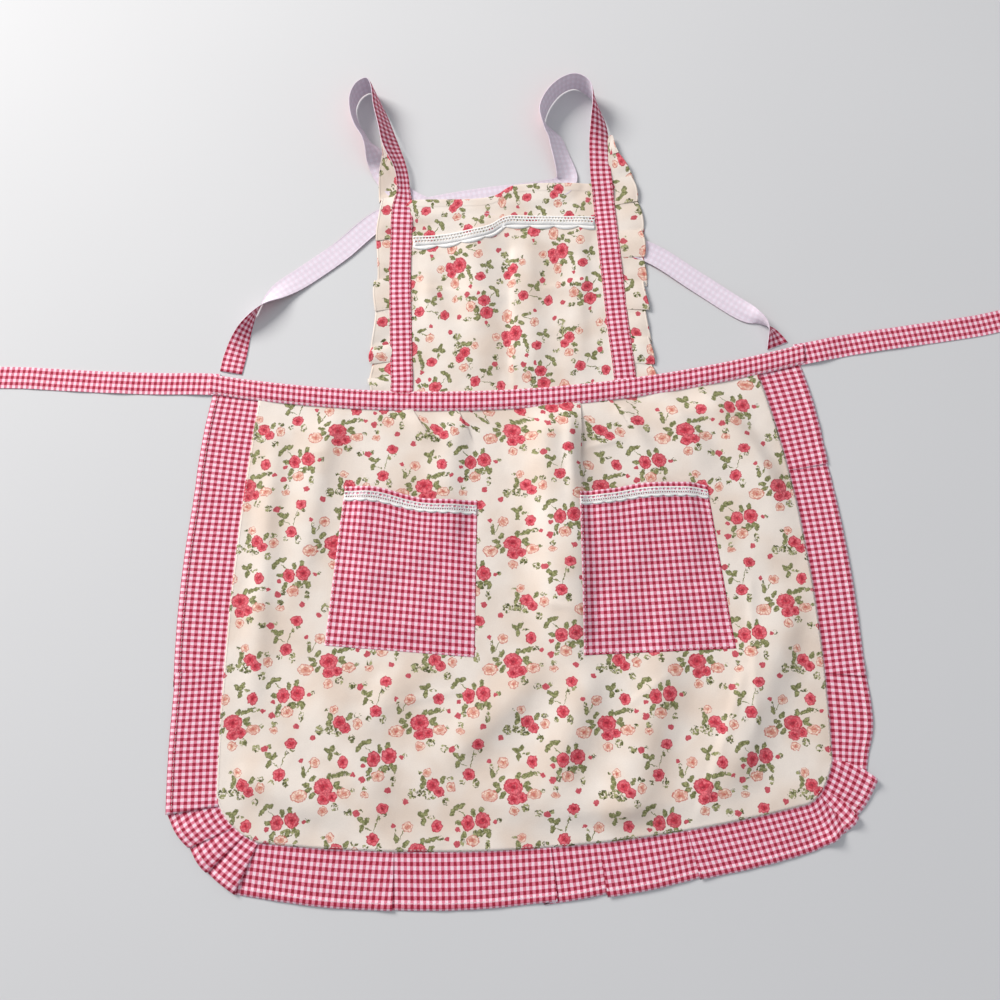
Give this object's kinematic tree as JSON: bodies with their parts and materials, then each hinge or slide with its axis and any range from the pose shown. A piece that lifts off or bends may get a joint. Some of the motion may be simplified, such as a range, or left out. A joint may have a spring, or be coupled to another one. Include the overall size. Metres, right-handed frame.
{
  "type": "bib apron",
  "caption": "Frilled bib apron laid flat: gathered skirt with a pleated border, lace-edged patch pockets, bib, crossed shoulder straps and waist ties.",
  "frame": {"origin": "on the back of the waistband, which is what the apron lies on, at the middle of the waist", "axes": "+X across the waist along the ties, +Y from the waist to the bib, +Z out of the front of the apron"},
  "size_m": [1.3809, 0.9219, 0.0275],
  "materials": {
    "floral_cotton": "cream cotton with a small all-over print of roses and leaves, matte",
    "gingham_cotton": "cotton printed with a small red and white check, white on the back, matte",
    "lace": "white cotton crochet lace, matte",
    "thread": "off-white sewing thread, matte"
  },
  "bodies": {
    "skirt": {"skirt_panel": "floral_cotton", "ruffle_left": "gingham_cotton", "ruffle_corner_left": "gingham_cotton", "ruffle_bottom": "gingham_cotton", "ruffle_corner_right": "gingham_cotton", "ruffle_right": "gingham_cotton", "ruffle_seam_stitching": "thread", "hem_stitching": "thread", "waistband_back": "gingham_cotton", "waist_seam_allowance": "floral_cotton", "waistband_front": "gingham_cotton", "waistband_stitching": "thread", "pocket_left": "gingham_cotton", "pocket_right": "gingham_cotton", "pocket_lace_left": "lace", "pocket_lace_right": "lace", "pocket_stitching_left": "thread", "pocket_stitching_right": "thread", "bib_base": "floral_cotton", "frill_base_left": "floral_cotton", "frill_base_right": "floral_cotton", "strap_base_left": "gingham_cotton", "strap_base_right": "gingham_cotton"},
    "bib": {"bib_panel": "floral_cotton", "bib_lace": "lace", "frill_left": "floral_cotton", "frill_right": "floral_cotton", "shoulder_strap_left": "gingham_cotton", "shoulder_strap_right": "gingham_cotton", "strap_stitching_left": "thread", "strap_stitching_right": "thread"},
    "tie_left": {"waist_tie_left": "gingham_cotton"},
    "tie_right": {"waist_tie_right": "gingham_cotton"}
  },
  "joints": [
    {"name": "bib_fold", "type": "hinge", "parent": "skirt", "child": "bib", "pos_m": [-0.315, 0.027, 0.0042], "axis": [0.9986, 0.052, 0], "range_deg": [0, 150]},
    {"name": "tie_left_swing", "type": "hinge", "parent": "skirt", "child": "tie_left", "pos_m": [-0.336, 0.0153, 0.002], "axis": [0, 0, 1], "range_deg": [-75, 75]},
    {"name": "tie_right_swing", "type": "hinge", "parent": "skirt", "child": "tie_right", "pos_m": [0.328, 0.0513, 0.002], "axis": [0, 0, 1], "range_deg": [-75, 75]}
  ]
}
